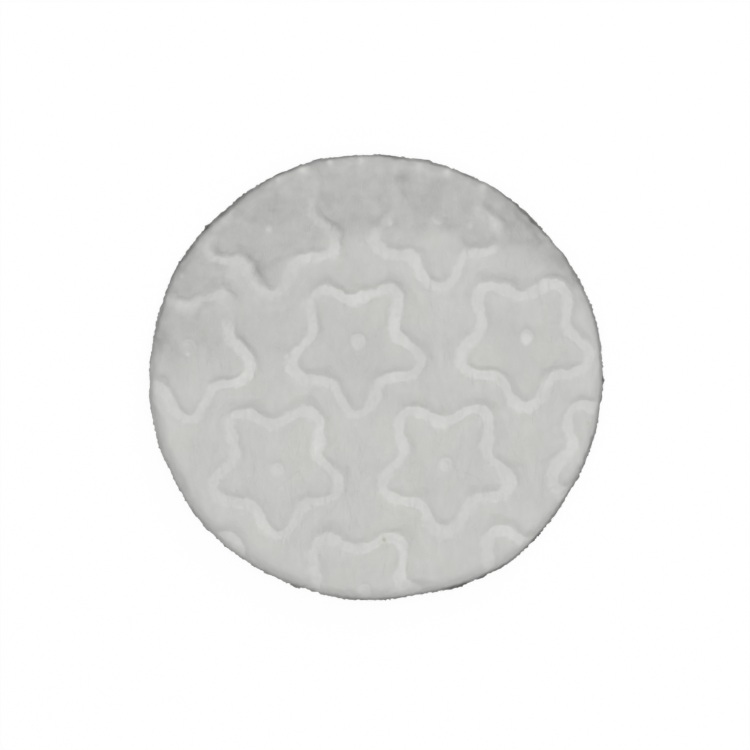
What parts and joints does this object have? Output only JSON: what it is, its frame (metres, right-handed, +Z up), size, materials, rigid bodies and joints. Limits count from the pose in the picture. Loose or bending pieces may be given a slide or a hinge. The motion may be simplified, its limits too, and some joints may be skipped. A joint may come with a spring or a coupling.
{
  "type": "cotton pad",
  "caption": "Round cotton pad with a rounded edge, a plain underside and rows of plain stars pressed into its upper face.",
  "frame": {"origin": "middle of the flat underside, on the surface that the pad lies on", "axes": "+Z up, out of the face with the stars; +Y towards the side that is bent up a little; +X to the right of it, seen from above"},
  "size_m": [0.0577, 0.0566, 0.0057],
  "materials": {
    "cotton": "matte"
  },
  "bodies": {
    "root": {"cotton_pad": "cotton"}
  },
  "joints": []
}
